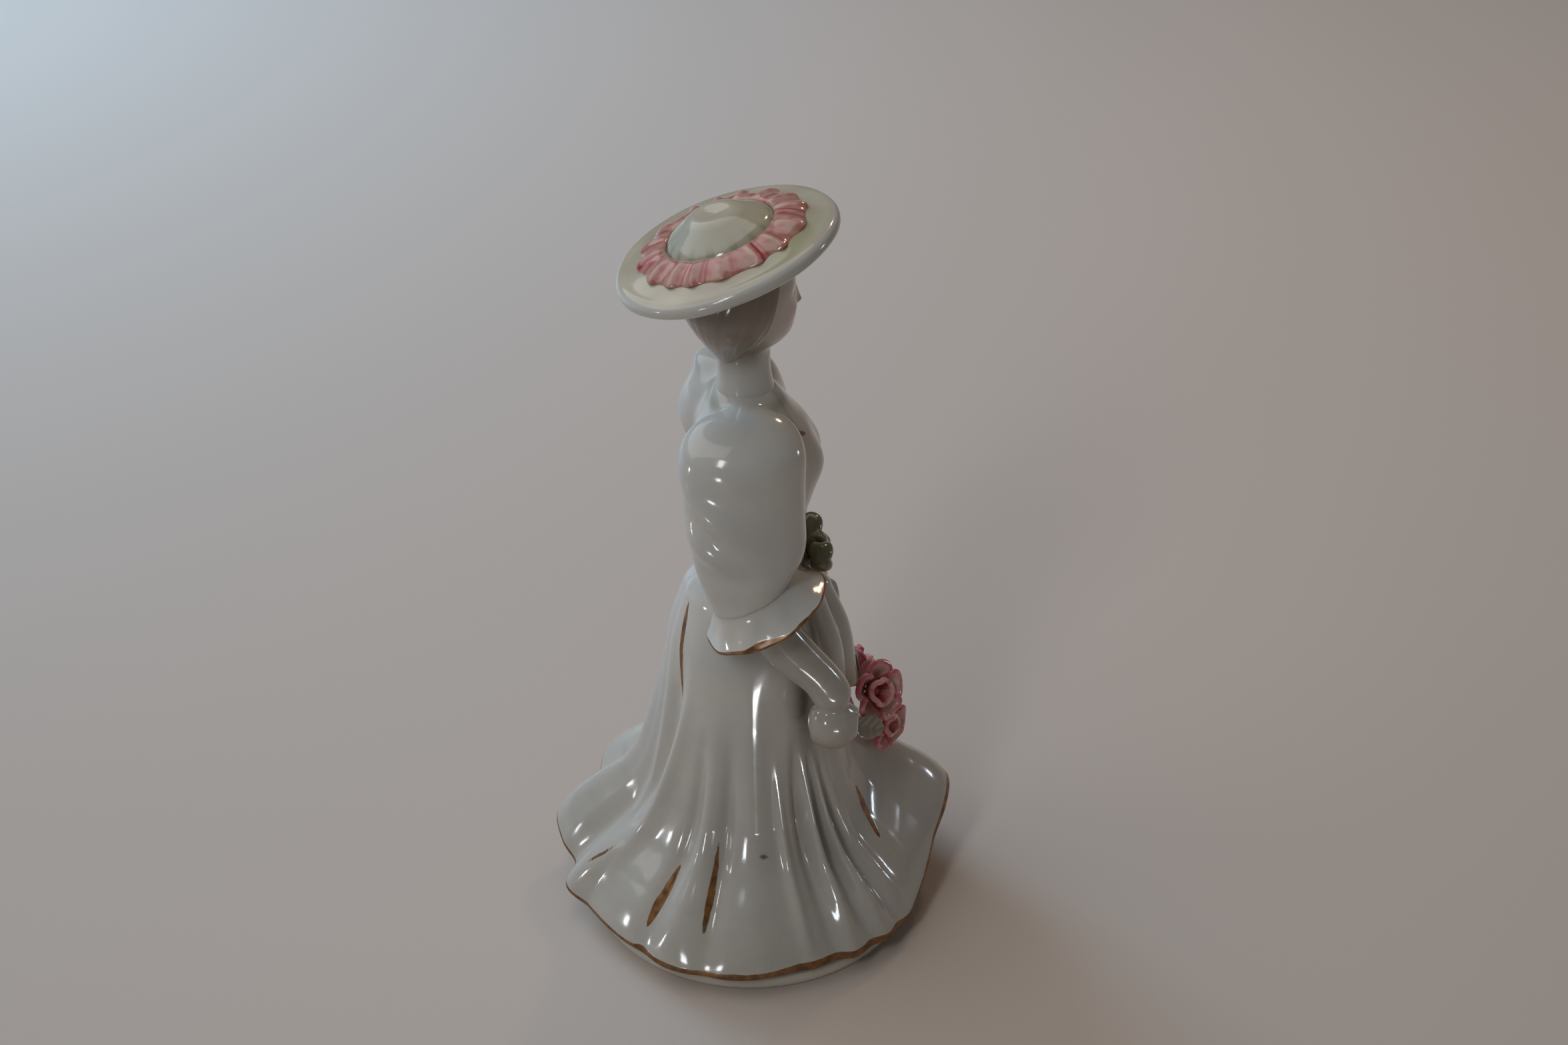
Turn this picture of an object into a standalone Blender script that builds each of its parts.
"""Porcelain figurine of a lady in a long flared gown and a broad flower-trimmed hat.

She stands on Z = 0 and faces -Y, so her right hand is on -X.
Lengths below are in millimetres; add_object() turns them into metres.
"""
import math

import bmesh
import bpy
import numpy as np
from mathutils import Matrix, Vector

MM = 0.001
GAP = 0.35                    # clearance between neighbouring pieces
CUT_GAP = GAP + 0.1           # clearance left where a piece is cut back
SHARP_EDGE = math.radians(50.0)

# Gown
WAIST_Z = 100.0
WAIST_RADIUS = 12.4
SKIRT_WALL = 2.4
FOOT_RADIUS = 42.0
FOOT_WALL = 4.5

# Points round each piece
SKIRT_COLUMNS = 84
FOOT_COLUMNS = 56
BODICE_COLUMNS = 26
SASH_COLUMNS = 30
SLEEVE_COLUMNS = 22
CUFF_COLUMNS = 32
ARM_COLUMNS = 14
HEAD_COLUMNS = 24
HAIR_COLUMNS = 22
BRIM_COLUMNS = 36
CROWN_COLUMNS = 26
BUD_COLUMNS = 12
STEM_COLUMNS = 10

# Rings along each piece
BODICE_RINGS = 13
SLEEVE_RINGS = 12
ARM_RINGS = 14
HEAD_RINGS = 19
HAIR_RINGS = 13
TAIL_RINGS = 13
LEAF_RINGS = 9
STEM_RINGS = 9

# Head and hat
NOSE_Z = 169.8
CHIN_Z = 163.6
EYE_Z = 173.2
HAIRLINE_Y = -2.6             # front of the hair, from the middle of the head
HAIRLINE_LEAN = math.radians(14.0)
HEAD_CENTRE = (0.0, 0.6, 170.5)
HEAD_TURN = math.radians(17.0)
HAT_CENTRE = (0.4, 4.6, 184.6)
HAT_TILT = (math.radians(-18.5), math.radians(2.0), 0.0)
HAT_RADIUS = 26.2
CROWN_RADIUS = 13.0
CROWN_TOP = 9.4

# Flowers
PETAL_COUNT = 5
PETAL_THICKNESS = 1.1

# Hem outline: angle round the figure (degrees from +X), radius, height
HEM = (
    (5, 46.0, 9.0), (20, 47.0, 13.0), (34, 49.0, 17.0), (47, 50.0, 18.0),
    (61, 46.5, 14.0), (75, 51.5, 14.5), (85, 49.5, 11.0), (92, 46.5, 8.5),
    (98, 49.0, 6.5), (108, 45.5, 5.2), (130, 44.3, 5.0), (147, 45.0, 5.0),
    (170, 44.6, 5.0), (190, 43.2, 5.3), (205, 43.6, 5.0), (220, 45.0, 5.0),
    (235, 46.0, 6.0), (250, 45.8, 9.0), (262, 47.5, 14.0), (272, 51.5, 19.0),
    (281, 53.5, 22.0), (292, 50.5, 20.0), (305, 46.5, 13.0), (320, 47.5, 8.5),
    (335, 49.0, 7.0), (350, 47.0, 7.0),
)

# Skirt flare: way down from waist to hem, share of the radius gained
FLARE = (
    (0.0, 0.0), (0.06, 0.09), (0.20, 0.19), (0.37, 0.245), (0.52, 0.30),
    (0.67, 0.39), (0.77, 0.53), (0.86, 0.75), (0.93, 0.905), (1.0, 1.0),
)

# Skirt folds: angle where the fold starts, angle at the hem, start, height, half width
FOLDS = (
    (122, 92, 0.10, -1.7, 8.0), (128, 99, 0.25, 2.3, 8.0),
    (144, 137, 0.35, -1.9, 5.5), (152, 148, 0.30, 1.5, 6.0),
    (163, 160, 0.35, -1.8, 5.0), (176, 178, 0.10, 1.3, 9.0),
    (193, 196, 0.42, 2.1, 4.0), (204, 204, 0.42, -2.2, 4.0),
    (213, 212, 0.42, 2.3, 3.6), (219, 219, 0.42, -2.0, 3.6),
    (223, 226, 0.42, 1.9, 4.0), (228, 233, 0.45, -1.8, 4.5),
    (240, 252, 0.50, 1.2, 8.0), (262, 268, 0.45, -1.4, 7.0),
    (300, 302, 0.15, -2.4, 8.0), (315, 318, 0.20, 1.8, 8.0),
    (330, 333, 0.20, -1.8, 6.0), (346, 347, 0.15, 1.8, 8.0),
    (3, 4, 0.20, -2.2, 7.0), (18, 20, 0.20, 1.5, 7.0),
    (34, 36, 0.25, -1.5, 5.0), (58, 60, 0.15, -2.4, 7.0),
    (72, 75, 0.20, 1.6, 8.0),
)

# Bodice: height, half width, half depth, centre in Y
BODICE = (
    (100.4, 12.2, 11.4, 0.0), (106.0, 11.6, 11.2, -0.4), (114.0, 12.4, 12.2, -1.0),
    (123.0, 14.2, 13.8, -1.9), (131.0, 15.6, 15.0, -2.2), (138.0, 16.4, 13.6, -1.0),
    (142.5, 14.4, 10.6, -0.2), (145.0, 10.6, 9.0, 0.3), (145.85, 8.2, 7.8, 0.6),
)

# Right sleeve: centre, half width in X, half depth in Y
RIGHT_SLEEVE = (
    ((-14.0, 1.4, 147.4), 4.4, 7.2), ((-15.0, 1.5, 146.4), 7.2, 11.2),
    ((-16.0, 1.7, 142.4), 9.8, 13.2), ((-16.8, 1.8, 134.0), 10.6, 14.0),
    ((-17.5, 2.0, 125.0), 10.3, 13.6), ((-18.2, 2.2, 116.0), 9.7, 12.3),
    ((-18.6, 1.8, 109.5), 9.2, 11.2), ((-18.8, 1.0, 105.5), 9.0, 10.8),
)
RIGHT_CUFF_RIM = (-18.6, -2.6, 98.6)
RIGHT_ARM = (
    ((-18.8, -2.0, 100.4), 5.2), ((-20.0, -6.6, 94.6), 5.1), ((-21.0, -12.0, 88.4), 4.9),
    ((-21.6, -16.0, 82.6), 4.8),
)
RIGHT_HAND = (-22.2, -18.8, 70.0)

LEFT_SLEEVE = (
    ((14.2, 3.6, 149.8), 4.2, 5.0), ((15.2, 3.6, 148.8), 7.0, 8.2),
    ((16.0, 3.4, 144.6), 9.6, 10.2), ((16.8, 2.8, 137.0), 10.4, 11.8),
    ((17.6, 2.4, 128.5), 10.2, 12.4), ((18.4, 2.4, 120.5), 9.6, 12.0),
    ((18.8, 2.0, 115.0), 9.2, 11.0), ((19.0, 1.2, 111.6), 9.0, 10.6),
)
LEFT_CUFF_RIM = (19.2, -3.0, 105.6)
LEFT_ARM = (
    ((19.2, -2.2, 107.2), 4.7), ((19.6, -6.8, 100.2), 4.6), ((20.0, -11.6, 92.6), 4.3),
    ((20.2, -14.8, 86.4), 4.1),
)
LEFT_HAND = (19.6, -17.6, 74.6)

# Sash tails: angle at the top, angle at the end, length
TAILS = {"right": (243.0, 242.0, 30.0), "left": (265.0, 263.0, 35.0)}

# Flowers: centre, radius, direction they face
FLOWERS = {
    "upper_flower": ((1.4, -31.6, 58.6), 7.6, (-0.75, -0.85, 0.45)),
    "middle_flower": ((15.0, -29.8, 56.4), 6.8, (0.35, -1.0, 0.55)),
    "front_flower": ((4.4, -35.0, 45.2), 6.6, (-0.70, -0.95, 0.15)),
    "lower_flower": ((18.6, -33.4, 43.6), 6.2, (0.35, -1.0, 0.25)),
}
LEAVES = {
    "left_leaf": ((23.4, -26.4, 54.0), (0.9, -0.1, -0.25), (0.4, -0.9, 0.2)),
    "right_leaf": ((-2.6, -30.0, 50.4), (-0.35, -0.30, -1.0), (-0.3, -1.0, 0.2)),
}

MATERIALS = {
    "white_glaze": ((0.78, 0.78, 0.76), 0.12, 0.0),
    "bisque_foot": ((0.80, 0.78, 0.74), 0.60, 0.0),
    "skin_glaze": ((0.80, 0.76, 0.73), 0.12, 0.0),
    "hair_glaze": ((0.62, 0.57, 0.52), 0.16, 0.0),
    "hat_glaze": ((0.66, 0.66, 0.52), 0.14, 0.0),
    "pink_glaze": ((0.66, 0.20, 0.22), 0.14, 0.0),
    "green_glaze": ((0.30, 0.33, 0.22), 0.14, 0.0),
}


# ---------------------------------------------------------------- helpers

def clear_scene():
    for old in list(bpy.data.objects):
        bpy.data.objects.remove(old)


def make_material(name):
    colour, roughness, metallic = MATERIALS[name]
    material = bpy.data.materials.get(name) or bpy.data.materials.new(name)
    material.use_nodes = True
    shader = material.node_tree.nodes["Principled BSDF"]
    shader.inputs["Base Color"].default_value = (*colour, 1.0)
    shader.inputs["Roughness"].default_value = roughness
    shader.inputs["Metallic"].default_value = metallic
    return material


def smooth_step(value):
    value = min(max(value, 0.0), 1.0)
    return value * value * (3.0 - 2.0 * value)


def catmull(before, start, end, after, t):
    """Point between start and end on a smooth curve through four points."""
    before, start, end, after = (np.asarray(p, float) for p in (before, start, end, after))
    return 0.5 * (2.0 * start + (end - before) * t
                  + (2.0 * before - 5.0 * start + 4.0 * end - after) * t ** 2
                  + (3.0 * start - before - 3.0 * end + after) * t ** 3)


def open_curve(points, share):
    """Point at a share (0 to 1) of the way along a smooth curve through points."""
    last = len(points) - 1
    place = min(max(share, 0.0), 1.0) * last
    index = min(int(place), last - 1)
    before = points[max(index - 1, 0)]
    after = points[min(index + 2, last)]
    return catmull(before, points[index], points[index + 1], after, place - index)


def table_value(table, x):
    """Smooth value at x of an open table of (x, value) rows."""
    for index in range(len(table) - 1):
        if x <= table[index + 1][0] or index == len(table) - 2:
            break
    low, high = table[index], table[index + 1]
    before = table[max(index - 1, 0)][1]
    after = table[min(index + 2, len(table) - 1)][1]
    t = (x - low[0]) / (high[0] - low[0])
    return float(catmull(before, low[1], high[1], after, t))


def hem_at(angle):
    """Radius and height of the hem at an angle in degrees."""
    angle = (angle - HEM[0][0]) % 360.0 + HEM[0][0]
    count = len(HEM)
    index = max(i for i in range(count) if HEM[i][0] <= angle)
    low = HEM[index]
    high = HEM[(index + 1) % count]
    span = (high[0] - low[0]) % 360.0
    values = (HEM[index - 1][1:], low[1:], high[1:], HEM[(index + 2) % count][1:])
    return catmull(*values, (angle - low[0]) / span)


def add_object(name, verts, faces, material, parent=None):
    """Make an object from millimetre points, its faces turned outward."""
    mesh = bpy.data.meshes.new(name)
    work = bmesh.new()
    made = [work.verts.new(Vector(v) * MM) for v in verts]
    for face in faces:
        work.faces.new([made[i] for i in face])
    bmesh.ops.recalc_face_normals(work, faces=work.faces)
    work.to_mesh(mesh)
    work.free()
    mesh.shade_smooth()
    mesh.set_sharp_from_angle(angle=SHARP_EDGE)
    thing = bpy.data.objects.new(name, mesh)
    bpy.context.collection.objects.link(thing)
    if material:
        mesh.materials.append(make_material(material))
    thing.parent = parent
    return thing


def loft(name, rings, material, parent=None, wrap=False):
    """Skin a stack of rings; the ends are capped, or joined when wrap is set."""
    count = len(rings[0])
    verts = [point for ring in rings for point in ring]
    faces = []
    steps = len(rings) if wrap else len(rings) - 1
    for i in range(steps):
        low = i * count
        high = ((i + 1) % len(rings)) * count
        for j in range(count):
            k = (j + 1) % count
            faces.append((low + j, low + k, high + k, high + j))
    if not wrap:
        faces.append(tuple(reversed(range(count))))
        faces.append(tuple(range(len(verts) - count, len(verts))))
    return add_object(name, verts, faces, material, parent)


def ellipse(centre, half_x, half_y, count, axis_u=(1, 0, 0), axis_v=(0, 1, 0)):
    """Ring of points round a centre, in the plane of two unit axes."""
    centre, axis_u, axis_v = Vector(centre), Vector(axis_u), Vector(axis_v)
    ring = []
    for j in range(count):
        turn = 2.0 * math.pi * j / count
        ring.append(centre + axis_u * (half_x * math.cos(turn)) + axis_v * (half_y * math.sin(turn)))
    return ring


def tube_rings(path, radii, count):
    """Round rings square to a path."""
    rings = []
    for i, point in enumerate(path):
        ahead = Vector(path[min(i + 1, len(path) - 1)])
        behind = Vector(path[max(i - 1, 0)])
        along = (ahead - behind).normalized()
        side = along.cross(Vector((1.0, 0.0, 0.0))).normalized()
        rings.append(ellipse(point, radii[i], radii[i], count, along.cross(side), side))
    return rings


def grow(source, distance):
    """Hidden copy of an object, swollen along its normals, for cutting."""
    cutter = source.copy()
    cutter.data = source.data.copy()
    cutter.name = source.name + "_cutter"
    cutter.modifiers.clear()
    normals = [v.normal.copy() for v in cutter.data.vertices]
    for vertex, normal in zip(cutter.data.vertices, normals):
        vertex.co += normal * distance * MM
    bpy.context.collection.objects.link(cutter)
    cutter.hide_render = True
    cutter.display_type = "WIRE"
    return cutter


def cut(target, *neighbours):
    """Cut a piece back from its neighbours, leaving the gap."""
    for neighbour in neighbours:
        modifier = target.modifiers.new("clear_" + neighbour.name, "BOOLEAN")
        modifier.operation = "DIFFERENCE"
        modifier.solver = "EXACT"
        modifier.object = grow(neighbour, CUT_GAP)


# ---------------------------------------------------------------- gown

def fold_height(angle, down):
    """How far the folds lift the skirt at an angle and a share of the way down."""
    height = 0.0
    for top_angle, hem_angle, start, amount, width in FOLDS:
        share = (down - start) / (1.0 - start)
        if share <= 0.0:
            continue
        middle = top_angle + (hem_angle - top_angle) * share
        offset = (angle - middle + 180.0) % 360.0 - 180.0
        height += amount * smooth_step(share * 1.8) * math.exp(-(offset / width) ** 2)
    return height


def skirt_point(angle, down):
    """Radius and height of the skirt's outer surface."""
    hem_radius, hem_z = hem_at(angle)
    radius = WAIST_RADIUS + (hem_radius - WAIST_RADIUS) * table_value(FLARE, down)
    radius += fold_height(angle, down) * (1.0 - 0.45 * smooth_step((down - 0.8) * 5.0))
    return radius, WAIST_Z + (hem_z - WAIST_Z) * down


def skirt_inside(angle, down):
    """The same, on the inner surface, one wall thickness in."""
    radius, z = skirt_point(angle, down)
    near_radius, near_z = skirt_point(angle, down - 0.02)
    run = math.hypot(radius - near_radius, z - near_z)
    return (radius - SKIRT_WALL * (near_z - z) / run,
            z - SKIRT_WALL * (radius - near_radius) / run)


def polar(angle, radius, z):
    turn = math.radians(angle)
    return (radius * math.cos(turn), radius * math.sin(turn), z)


def make_skirt(parent):
    angles = [360.0 * j / SKIRT_COLUMNS for j in range(SKIRT_COLUMNS)]
    outside = (0.0, 0.06, 0.18, 0.34, 0.48, 0.60, 0.70, 0.78, 0.85, 0.91, 0.96, 1.0)
    inside = (0.955, 0.86, 0.74, 0.58, 0.34, 0.08)
    rings = [[polar(a, *skirt_point(a, down)) for a in angles] for down in outside]
    rings += [[polar(a, *skirt_inside(a, down)) for a in angles] for down in inside]
    return loft("skirt", rings, "white_glaze", parent)


def make_foot(parent):
    """Underskirt wall that carries the figure, open underneath."""
    profile = ((FOOT_RADIUS - 0.6, 0.0), (FOOT_RADIUS, 1.0), (FOOT_RADIUS - 0.4, 3.0),
               (FOOT_RADIUS - 2.6, 3.9), (37.5, 8.0), (35.0, 16.0), (30.0, 28.0))
    angles = [360.0 * j / FOOT_COLUMNS for j in range(FOOT_COLUMNS)]
    outer = []
    for radius, z in profile:
        outer.append([polar(a, min(radius, clear_radius(a, z)), z) for a in angles])
    inner = []
    for ring, (_, z) in zip(reversed(outer), reversed(profile)):
        inner.append([polar(a, math.hypot(p[0], p[1]) - FOOT_WALL, z)
                      for a, p in zip(angles, ring)])
    return loft("underskirt_foot", outer + inner, "bisque_foot", parent, wrap=True)


def clear_radius(angle, z):
    """Largest radius at a height that stays clear of the skirt's inside."""
    clearance, reach = 0.9, 3.0
    best = math.inf
    for down in np.linspace(0.40, 0.96, 60):
        radius, height = skirt_inside(angle, down)
        if abs(height - z) < reach:
            best = min(best, radius - clearance)
    return best


def make_bodice(parent):
    rings = []
    for step in range(BODICE_RINGS):
        z, half_x, half_y, middle = open_curve(BODICE, step / (BODICE_RINGS - 1))
        rings.append(ellipse((0.0, middle, z), half_x, half_y, BODICE_COLUMNS))
    return loft("bodice", rings, "white_glaze", parent)


def bodice_size(z):
    """Half width, half depth and centre of the bodice at a height."""
    samples = 140
    for step in range(samples + 1):
        row = open_curve(BODICE, step / samples)
        if row[0] >= z:
            break
    return row[1], row[2], row[3]


def make_sash(parent):
    """Flat ribbon round the waist, just over the top of the skirt."""
    rings = []
    section = ((GAP, 101.2), (1.5, 101.0), (1.9, 102.6), (1.5, 104.4), (GAP, 104.6))
    for offset, z in section:
        half_x, half_y, middle = bodice_size(z)
        rings.append(ellipse((0.0, middle, z), half_x + offset, half_y + offset, SASH_COLUMNS))
    return loft("waist_sash", rings, "green_glaze", parent, wrap=True)


# ---------------------------------------------------------------- arms

def limb_frame(path_point, next_point):
    along = (Vector(next_point) - Vector(path_point)).normalized()
    side = Vector((1.0, 0.0, 0.0))
    side = (side - along * side.dot(along)).normalized()
    return along, side, along.cross(side)


def make_sleeve(name, stations, rim, parent):
    """Puffed sleeve; its lower end faces the middle of the cuff's rim."""
    rings = []
    last = SLEEVE_RINGS - 1
    _, end_side, end_front = limb_frame(stations[-1][0], rim)
    rows = [(*centre, half_x, half_y) for centre, half_x, half_y in stations]
    for step in range(last + 1):
        x, y, z, half_x, half_y = open_curve(rows, step / last)
        lean = smooth_step((step / last - 0.55) / 0.45)
        side = Vector((1.0, 0.0, 0.0)).lerp(end_side, lean).normalized()
        front = Vector((0.0, -1.0, 0.0)).lerp(end_front, lean).normalized()
        if front.dot(end_front) < 0.0:
            front = -front
        rings.append(ellipse((x, y, z), half_x, half_y, SLEEVE_COLUMNS, side, front))
    return loft(name, rings, "white_glaze", parent)


def make_cuff(name, stations, rim, parent):
    """Bell-shaped frill with a shallow dish that the forearm stands in."""
    start, half_x, half_y = stations[-1]
    along, side, front = limb_frame(start, rim)
    start, rim = Vector(start), Vector(rim)
    length = (rim - start).length
    profile = ((GAP / length, 1.0), (0.30, 1.05), (0.62, 1.22), (0.85, 1.38), (0.97, 1.48),
               (1.0, 1.44), (0.93, 1.28), (0.80, 1.00), (0.72, 0.60))
    waves, wave_height = 8, 0.035
    rings = []
    for place, scale in profile:
        centre = start + along * (length * place)
        ring = []
        for j in range(CUFF_COLUMNS):
            turn = 2.0 * math.pi * j / CUFF_COLUMNS
            frill = 1.0 + wave_height * smooth_step(place * 1.3 - 0.3) * math.cos(waves * turn)
            ring.append(centre + side * (half_x * scale * frill * math.cos(turn))
                        + front * (half_y * scale * frill * math.sin(turn)))
        rings.append(ring)
    return loft(name, rings, "white_glaze", parent)


def make_arm(name, stations, hand, parent):
    """Forearm that ends in a closed hand."""
    path = [Vector(centre) for centre, _ in stations]
    radii = [radius for _, radius in stations]
    hand = Vector(hand)
    wrist = path[-1]
    way = (hand - wrist).normalized()
    # Along the hand from its middle, radius
    fist = ((-2.0, 6.1), (1.0, 6.6), (3.6, 5.4), (5.2, 2.6))
    path += [hand + way * offset for offset, _ in fist]
    radii += [radius for _, radius in fist]
    rows = [(*p, r) for p, r in zip(path, radii)]
    smooth = [open_curve(rows, i / (ARM_RINGS - 1)) for i in range(ARM_RINGS)]
    rings = tube_rings([row[:3] for row in smooth], [row[3] for row in smooth], ARM_COLUMNS)
    return loft(name, rings, "skin_glaze", parent)


# ---------------------------------------------------------------- head and hat

def turned(point, centre, angle):
    """Point turned about a vertical line through a centre."""
    offset = Vector(point) - Vector(centre)
    return Vector(centre) + Matrix.Rotation(angle, 3, "Z") @ offset


def make_head(parent):
    """Neck and head, with a plain nose, chin and eye hollow."""
    rows = (
        (146.2, 7.7, 7.5, 0.5), (149.0, 6.6, 6.6, 0.7), (153.0, 6.0, 6.2, 0.8),
        (157.0, 5.8, 6.1, 0.9), (160.2, 6.1, 6.6, 0.8), (162.4, 7.0, 8.6, -0.5),
        (164.8, 8.4, 10.1, -0.5), (168.4, 9.5, 11.1, -0.1), (172.8, 10.2, 11.8, 0.4),
        (177.0, 10.0, 11.5, 0.8), (181.5, 8.6, 10.0, 1.2), (184.8, 5.4, 6.4, 1.4),
        (185.8, 2.0, 2.4, 1.4),
    )
    rings = []
    for step in range(HEAD_RINGS):
        z, half_x, half_y, middle = open_curve(rows, step / (HEAD_RINGS - 1))
        ring = []
        for point in ellipse((0.0, middle, z), half_x, half_y, HEAD_COLUMNS):
            if point.y < middle:
                narrow = abs(point.x) / half_x
                nose = 1.5 * math.exp(-((z - NOSE_Z) / 1.8) ** 2 - (point.x / 1.4) ** 2)
                chin = 0.9 * math.exp(-((z - CHIN_Z) / 1.8) ** 2 - (point.x / 3.0) ** 2)
                socket = 0.7 * math.exp(-((z - EYE_Z) / 1.6) ** 2) * (1.0 - narrow)
                point.y -= nose + chin - socket
            ring.append(turned(point, HEAD_CENTRE, HEAD_TURN))
        rings.append(ring)
    return loft("head", rings, "skin_glaze", parent)


def make_hair(parent):
    """Hair swept up over the back and sides of the head."""
    rows = (
        (159.6, 5.4, 4.0, 5.0), (162.2, 7.6, 6.6, 4.2), (165.2, 9.6, 9.2, 3.4),
        (168.6, 11.3, 11.7, 2.7), (172.6, 12.3, 13.7, 2.2), (177.0, 12.2, 13.4, 1.6),
        (182.0, 10.6, 11.6, 1.6), (186.0, 7.0, 8.0, 1.6), (187.4, 3.0, 3.4, 1.6),
    )
    rings = []
    for step in range(HAIR_RINGS):
        z, half_x, half_y, middle = open_curve(rows, step / (HAIR_RINGS - 1))
        ring = []
        for point in ellipse((0.0, middle, z), half_x, half_y, HAIR_COLUMNS):
            ring.append(turned(point, HEAD_CENTRE, HEAD_TURN))
        rings.append(ring)
    return loft("hair", rings, "hair_glaze", parent)


def make_block(name, low, high, parent):
    """Hidden box used as a cutter."""
    (ax, ay, az), (bx, by, bz) = low, high
    verts = [(x, y, z) for z in (az, bz) for y in (ay, by) for x in (ax, bx)]
    faces = [(0, 1, 3, 2), (4, 6, 7, 5), (0, 4, 5, 1), (2, 3, 7, 6), (0, 2, 6, 4), (1, 5, 7, 3)]
    block = add_object(name, verts, faces, None, parent)
    block.hide_render = True
    block.display_type = "WIRE"
    return block


def subtract(target, cutter):
    modifier = target.modifiers.new("trim_" + cutter.name, "BOOLEAN")
    modifier.operation = "DIFFERENCE"
    modifier.solver = "EXACT"
    modifier.object = cutter


def brim_top(radius):
    """Height of the brim's upper face above the hat's own plane."""
    share = radius / HAT_RADIUS
    return 3.6 - 2.4 * smooth_step((share - 0.45) / 0.5)


def make_brim(parent):
    """Shallow saucer whose edge rolls down."""
    edge = HAT_RADIUS
    profile = [(4.0, brim_top(4.0)), (13.0, brim_top(13.0)), (18.0, brim_top(18.0)),
               (22.0, brim_top(22.0)), (edge - 1.6, brim_top(edge - 1.6)), (edge - 0.4, 0.4),
               (edge, -0.5), (edge - 0.5, -1.5), (edge - 1.8, -1.7), (edge - 4.0, -0.9),
               (16.0, 0.2), (4.0, 0.4)]
    rings = [ellipse((0.0, 0.0, z), radius, radius, BRIM_COLUMNS) for radius, z in profile]
    return loft("hat_brim", rings, "hat_glaze", parent)


def make_crown(parent):
    """Low round crown with a soft dent in its top."""
    base = brim_top(CROWN_RADIUS) + GAP
    profile = ((CROWN_RADIUS - 0.4, base), (CROWN_RADIUS - 0.1, base + 0.8),
               (11.4, base + 2.6), (9.4, base + 4.0), (7.6, base + 5.2),
               (5.8, CROWN_TOP), (3.8, CROWN_TOP - 0.1), (1.8, CROWN_TOP - 0.8))
    rings = [ellipse((0.0, 0.0, z), radius, radius, CROWN_COLUMNS) for radius, z in profile]
    return loft("hat_crown", rings, "hat_glaze", parent)


def make_hat_ruffle(parent):
    """Ring of pleated pink petals between the crown and the brim's edge."""
    pleats = 17
    per_pleat = 3
    count = pleats * per_pleat
    inner = CROWN_RADIUS + GAP
    profile = ((inner, GAP, 0.0), (inner + 0.2, 1.3, 0.15), (inner + 2.8, 1.9, 0.4),
               (inner + 5.4, 1.6, 0.8), (inner + 6.7, 0.9, 1.0), (inner + 6.3, GAP, 1.0),
               (inner + 3.0, GAP, 0.4))
    rings = []
    for radius, lift, wave in profile:
        ring = []
        for j in range(count):
            turn = 2.0 * math.pi * j / count
            ripple = math.cos(pleats * turn)
            reach = radius + 0.55 * wave * ripple
            rise = brim_top(reach) + lift
            if lift > GAP:
                rise += 0.35 * wave * ripple
            ring.append((reach * math.cos(turn), reach * math.sin(turn), rise))
        rings.append(ring)
    return loft("hat_ruffle", rings, "pink_glaze", parent, wrap=True)


# ---------------------------------------------------------------- bow and tails

def make_blob(name, centre, sizes, material, parent, tilt=0.0, count=14, rows=8):
    """Closed rounded solid, tilted about Y."""
    turn = Matrix.Rotation(tilt, 3, "Y")
    rings = []
    for i in range(1, rows):
        latitude = math.pi * (i / rows - 0.5)
        ring = []
        for point in ellipse((0.0, 0.0, sizes[2] * math.sin(latitude)),
                             sizes[0] * math.cos(latitude), sizes[1] * math.cos(latitude), count):
            ring.append(Vector(centre) + turn @ point)
        rings.append(ring)
    return loft(name, rings, material, parent)


def make_tail(name, top_angle, end_angle, length, parent):
    """Sash tail that lies on the front of the skirt, widening to its end."""
    top_z = 99.2
    clearance = 0.6
    section = ((-1.0, 0.3), (-0.75, 0.7), (0.0, 1.0), (0.75, 0.7), (1.0, 0.3), (0.6, 0.0), (-0.6, 0.0))
    rings = []
    for i in range(TAIL_RINGS):
        share = i / (TAIL_RINGS - 1)
        z = top_z - length * share
        angle = top_angle + (end_angle - top_angle) * share
        half_width = 2.2 + 1.2 * smooth_step(share)
        thickness = 2.6 + 1.8 * smooth_step(share * 1.5)
        middle_radius = skirt_surface_at(angle, z)
        spread = math.degrees(half_width / middle_radius)
        ring = []
        for side, lift in section:
            here = angle + side * spread
            under = skirt_surface_at(here, z)
            if side in (-1.0, 1.0):
                under = max(under, middle_radius)
            ring.append(polar(here, under + clearance + lift * thickness, z))
        rings.append(ring)
    return loft(name, rings, "white_glaze", parent)


def skirt_surface_at(angle, z):
    """Radius of the skirt's outside at a height, found by halving."""
    low, high = 0.0, 1.0
    halvings = 24
    for _ in range(halvings):
        middle = 0.5 * (low + high)
        if skirt_point(angle, middle)[1] > z:
            low = middle
        else:
            high = middle
    return skirt_point(angle, low)[0]


# ---------------------------------------------------------------- flowers

def facing(direction):
    """Rotation that turns +Z to a direction."""
    return Vector(direction).normalized().to_track_quat("Z", "Y").to_matrix()


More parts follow.
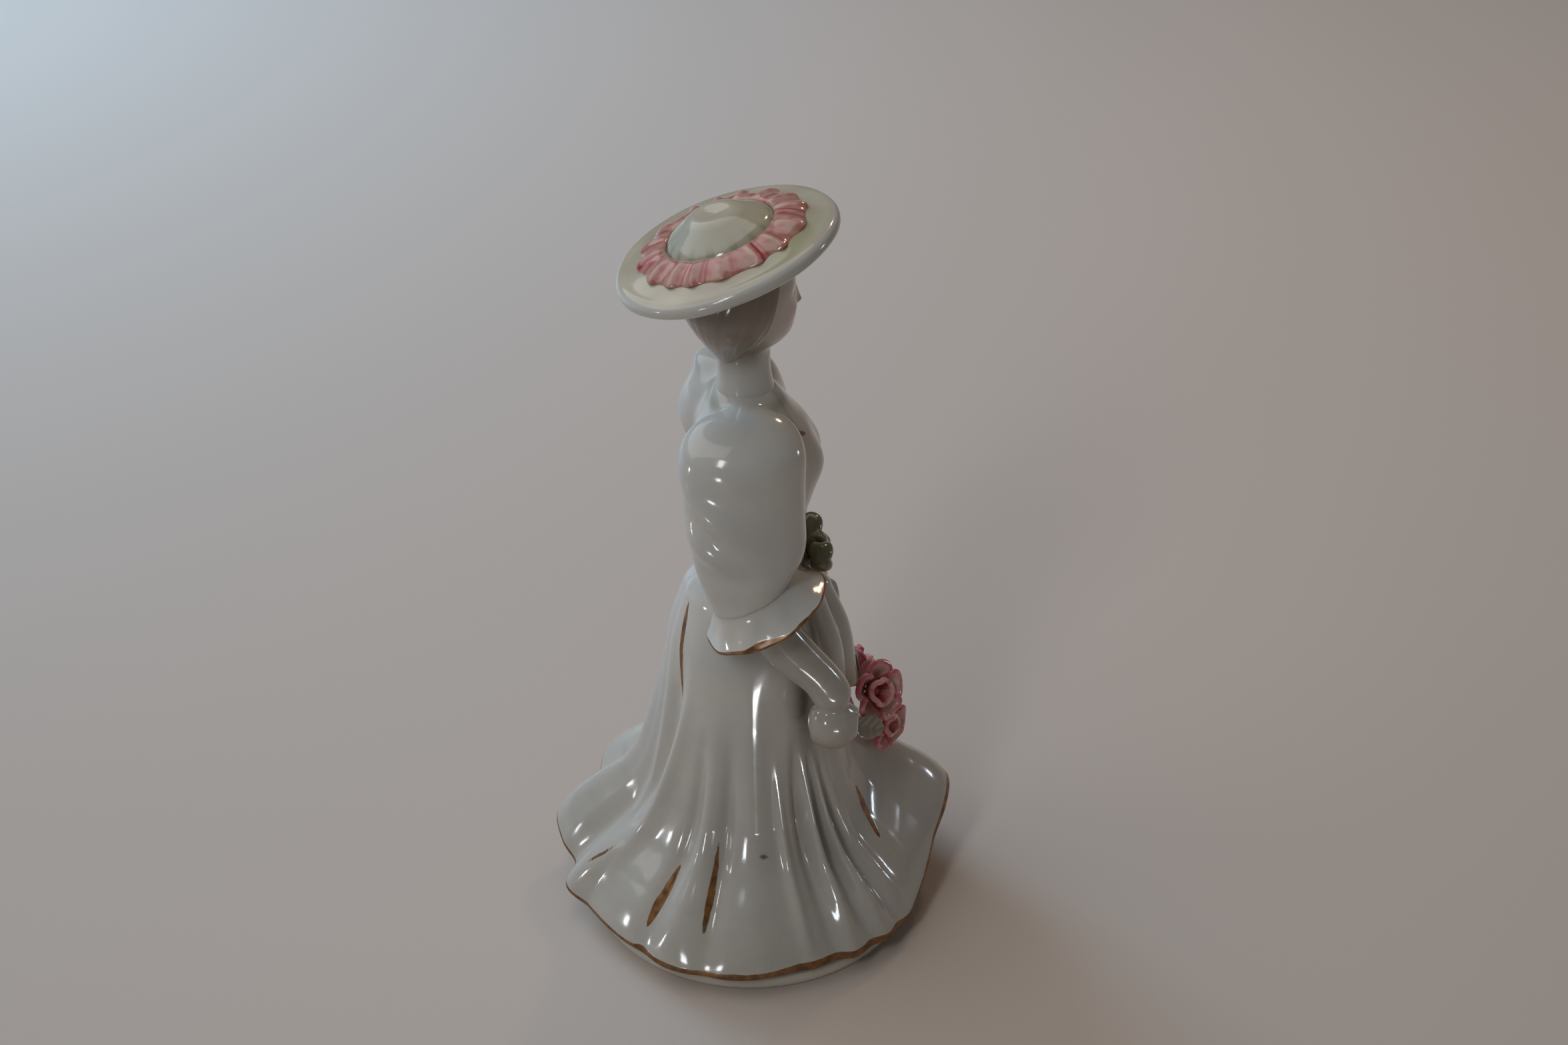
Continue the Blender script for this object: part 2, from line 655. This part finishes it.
def make_petal(name, centre, radius, direction, turn, parent):
    """Cupped petal of even thickness, standing on the flower's middle."""
    across, along = 4, 4
    rotation = facing(direction) @ Matrix.Rotation(turn, 3, "Z")
    half_sector = math.pi / PETAL_COUNT - 0.10
    start = radius * 0.36
    top, under = [], []
    for i in range(along + 1):
        share = i / along
        reach = start + (radius - start) * share
        width = half_sector * (0.78 + 0.22 * math.sin(math.pi * share)) * (1.0 - 0.5 * share ** 6)
        for j in range(across + 1):
            side = 2.0 * j / across - 1.0
            angle = side * width
            bow = reach * (1.0 - 0.16 * side * side * share)
            cup = radius * (0.62 * share ** 1.3 + 0.10 * side * side - 0.34)
            point = Vector((bow * math.cos(angle), bow * math.sin(angle), cup))
            top.append(Vector(centre) + rotation @ point)
            slope = Vector((0.55 * math.cos(angle), 0.55 * math.sin(angle), -0.83))
            under.append(Vector(centre) + rotation @ (point + slope * PETAL_THICKNESS))
    verts = top + under
    row = across + 1
    offset = len(top)
    faces = []
    for i in range(along):
        for j in range(across):
            a = i * row + j
            faces.append((a, a + 1, a + row + 1, a + row))
            faces.append(tuple(offset + k for k in (a, a + row, a + row + 1, a + 1)))
    rim = [j for j in range(row)] + [i * row + across for i in range(1, along + 1)]
    rim += [along * row + j for j in range(across - 1, -1, -1)]
    rim += [i * row for i in range(along - 1, 0, -1)]
    for here, there in zip(rim, rim[1:] + rim[:1]):
        faces.append((here, offset + here, offset + there, there))
    return add_object(name, verts, faces, "pink_glaze", parent)


def make_flower(name, centre, radius, direction, parent):
    """A bud in the middle with five separate petals round it."""
    rotation = facing(direction)
    rings = []
    for width, height in ((0.10, -0.42), (0.22, -0.36), (0.25, -0.15), (0.23, 0.08),
                          (0.16, 0.24), (0.06, 0.30)):
        ring = []
        for point in ellipse((0.0, 0.0, radius * height), radius * width, radius * width, BUD_COLUMNS):
            ring.append(Vector(centre) + rotation @ point)
        rings.append(ring)
    loft(name + "_bud", rings, "pink_glaze", parent)
    for k in range(PETAL_COUNT):
        turn = 2.0 * math.pi * k / PETAL_COUNT
        make_petal(f"{name}_petal_{k + 1}", centre, radius, direction, turn, parent)


def make_leaf(name, root, direction, normal, parent):
    """Pointed leaf, slightly folded along its middle."""
    length, half_width, thickness = 8.5, 2.6, 1.0
    along = Vector(direction).normalized()
    up = Vector(normal)
    up = (up - along * up.dot(along)).normalized()
    side = along.cross(up)
    rings = []
    for i in range(LEAF_RINGS):
        share = i / (LEAF_RINGS - 1)
        width = half_width * (0.16 + math.sin(math.pi * min(share * 0.92 + 0.04, 1.0)) ** 0.8)
        bend = 1.2 * share * share
        centre = Vector(root) + along * (length * share) + up * -bend
        rings.append([
            centre - side * width + up * 0.45, centre + up * thickness * 0.3,
            centre + side * width + up * 0.45, centre + side * width * 0.9 - up * 0.25,
            centre - up * thickness, centre - side * width * 0.9 - up * 0.25,
        ])
    return loft(name, rings, "green_glaze", parent)


def make_stems(parent):
    """Bundle of stems from the left hand to the flowers."""
    rows = ((18.6, -21.6, 70.6, 2.2), (16.4, -23.8, 67.8, 1.9), (13.2, -25.6, 65.2, 2.0),
            (10.4, -26.8, 62.6, 2.0), (9.2, -27.4, 60.4, 1.3))
    smooth = [open_curve(rows, i / (STEM_RINGS - 1)) for i in range(STEM_RINGS)]
    rings = tube_rings([row[:3] for row in smooth], [row[3] for row in smooth], STEM_COLUMNS)
    return loft("bouquet_stems", rings, "green_glaze", parent)


# ---------------------------------------------------------------- assembly

def add_empty(name, parent=None):
    empty = bpy.data.objects.new(name, None)
    bpy.context.collection.objects.link(empty)
    empty.parent = parent
    return empty


def make_gown(parent):
    skirt = make_skirt(parent)
    make_foot(parent)
    bodice = make_bodice(parent)
    sash = make_sash(parent)
    return skirt, bodice, sash


def make_arms(parent, skirt, bodice, sash, head):
    arms, cuffs = {}, {}
    sides = (("right", RIGHT_SLEEVE, RIGHT_CUFF_RIM, RIGHT_ARM, RIGHT_HAND),
             ("left", LEFT_SLEEVE, LEFT_CUFF_RIM, LEFT_ARM, LEFT_HAND))
    for side, sleeve_rows, rim, arm_rows, hand in sides:
        sleeve = make_sleeve(side + "_sleeve", sleeve_rows, rim, parent)
        cuff = make_cuff(side + "_cuff", sleeve_rows, rim, parent)
        arm = make_arm(side + "_forearm", arm_rows, hand, parent)
        cut(sleeve, bodice, sash, head)
        cut(cuff, bodice, sash, skirt)
        cut(arm, cuff, skirt)
        arms[side], cuffs[side] = arm, cuff
    return arms, cuffs


def make_hair_and_hat(parent, head):
    hair = make_hair(parent)
    cut(hair, head)
    hat = add_empty("hat", parent)
    hat.location = Vector(HAT_CENTRE) * MM
    hat.rotation_euler = HAT_TILT
    make_brim(hat)
    make_crown(hat)
    make_hat_ruffle(hat)
    above = make_block("above_brim", (-40, -40, -0.2), (40, 40, 30), hat)
    subtract(head, above)
    subtract(hair, above)
    face = make_block("in_front_of_hair", (-30, -30, -30), (30, 0, 30), parent)
    face.location = (Vector(HEAD_CENTRE) + Vector((0.0, HAIRLINE_Y, 0.0))) * MM
    face.rotation_euler = (HAIRLINE_LEAN, 0.0, HEAD_TURN)
    subtract(hair, face)


def make_bow(parent, bodice, sash, cuffs):
    knot = make_blob("bow_knot", (0.0, -16.2, 103.8), (2.7, 3.0, 3.6), "green_glaze", parent)
    cut(knot, sash, bodice)
    for side, sign in (("right", -1.0), ("left", 1.0)):
        loop = make_blob(side + "_bow_loop", (sign * 6.2, -15.4, 105.4), (5.2, 3.2, 3.9),
                         "green_glaze", parent, tilt=-sign * 0.30)
        cut(loop, knot, sash, bodice, cuffs[side])
        tail = make_tail(side + "_sash_tail", *TAILS[side], parent)
        cut(tail, knot, sash, *cuffs.values())


def make_bouquet(parent, left_arm):
    for name, (centre, radius, direction) in FLOWERS.items():
        make_flower(name, centre, radius, direction, parent)
    for name, (base, direction, normal) in LEAVES.items():
        make_leaf(name, base, direction, normal, parent)
    stems = make_stems(parent)
    cut(stems, left_arm)


def centre_on_footprint(root):
    """Move the figure so that the middle of its outline stands on the origin."""
    bpy.context.view_layer.update()
    low, high = [1.0, 1.0], [-1.0, -1.0]
    for thing in bpy.data.objects:
        if thing.type != "MESH" or thing.hide_render:
            continue
        for vertex in thing.data.vertices:
            place = thing.matrix_world @ vertex.co
            for axis in (0, 1):
                low[axis] = min(low[axis], place[axis])
                high[axis] = max(high[axis], place[axis])
    root.location = (-0.5 * (low[0] + high[0]), -0.5 * (low[1] + high[1]), 0.0)
    print("figure moved by (mm)", [round(value / MM, 3) for value in root.location])


def main():
    clear_scene()
    root = add_empty("figurine")
    skirt, bodice, sash = make_gown(root)
    head = make_head(root)
    arms, cuffs = make_arms(root, skirt, bodice, sash, head)
    make_hair_and_hat(root, head)
    make_bow(root, bodice, sash, cuffs)
    make_bouquet(root, arms["left"])
    centre_on_footprint(root)


main()
